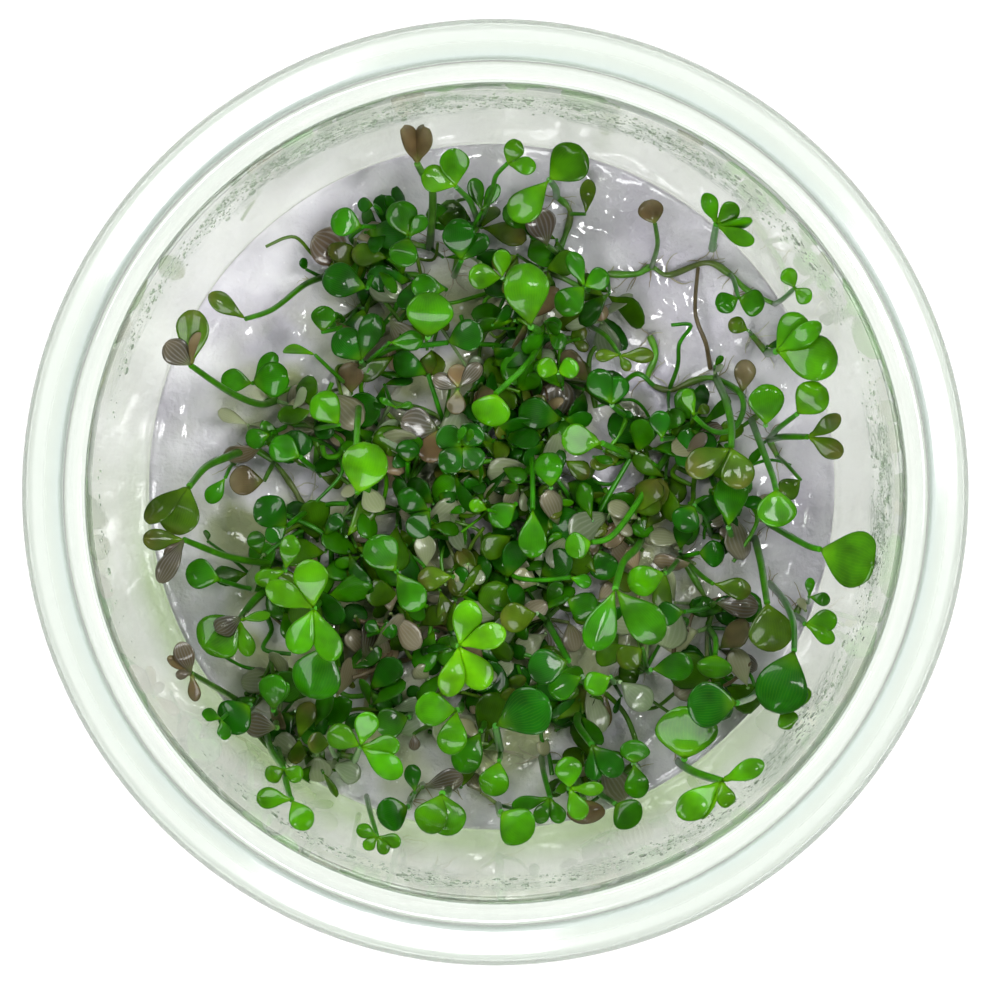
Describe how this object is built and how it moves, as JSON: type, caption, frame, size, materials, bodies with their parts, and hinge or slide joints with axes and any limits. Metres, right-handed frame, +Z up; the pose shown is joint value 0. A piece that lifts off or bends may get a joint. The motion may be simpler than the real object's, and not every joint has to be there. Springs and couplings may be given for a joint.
{
  "type": "tissue culture dwarf water clover",
  "caption": "Dense tuft of young dwarf water clover on creeping stems, growing on nutrient gel in an open clear plastic tissue culture cup with a stepped, flanged rim.",
  "frame": {"origin": "centre of the cup on the plane that its foot ring stands on", "axes": "+Z up out of the cup's mouth, +X to the right and +Y to the top of the view from above"},
  "size_m": [0.101, 0.101, 0.065],
  "materials": {
    "clear_plastic": "clear, smooth",
    "agar_gel": "wet, cloudy",
    "clover_leaf": "wet leaf"
  },
  "bodies": {
    "root": {"cup": "clear_plastic", "gel": "agar_gel", "plantlet_01": "clover_leaf", "plantlet_02": "clover_leaf", "plantlet_03": "clover_leaf", "plantlet_04": "clover_leaf", "plantlet_05": "clover_leaf", "plantlet_06": "clover_leaf", "plantlet_07": "clover_leaf", "plantlet_08": "clover_leaf", "plantlet_09": "clover_leaf", "plantlet_10": "clover_leaf", "plantlet_11": "clover_leaf", "plantlet_12": "clover_leaf", "plantlet_13": "clover_leaf", "plantlet_14": "clover_leaf", "plantlet_15": "clover_leaf", "plantlet_16": "clover_leaf", "plantlet_17": "clover_leaf", "plantlet_18": "clover_leaf", "plantlet_19": "clover_leaf", "plantlet_20": "clover_leaf", "plantlet_21": "clover_leaf", "plantlet_22": "clover_leaf", "plantlet_23": "clover_leaf", "plantlet_24": "clover_leaf", "plantlet_25": "clover_leaf", "plantlet_26": "clover_leaf", "plantlet_27": "clover_leaf", "plantlet_28": "clover_leaf", "plantlet_29": "clover_leaf", "plantlet_30": "clover_leaf", "plantlet_31": "clover_leaf", "plantlet_32": "clover_leaf", "plantlet_33": "clover_leaf", "plantlet_34": "clover_leaf", "plantlet_35": "clover_leaf", "plantlet_36": "clover_leaf", "plantlet_37": "clover_leaf", "plantlet_38": "clover_leaf", "plantlet_39": "clover_leaf", "runner_01": "clover_leaf", "runner_02": "clover_leaf", "frond_01": "clover_leaf", "frond_02": "clover_leaf", "frond_03": "clover_leaf", "frond_04": "clover_leaf", "frond_05": "clover_leaf", "frond_06": "clover_leaf", "frond_07": "clover_leaf", "frond_08": "clover_leaf", "frond_09": "clover_leaf", "frond_10": "clover_leaf", "frond_11": "clover_leaf", "frond_12": "clover_leaf", "frond_13": "clover_leaf", "frond_14": "clover_leaf", "frond_15": "clover_leaf", "frond_16": "clover_leaf"}
  },
  "joints": []
}
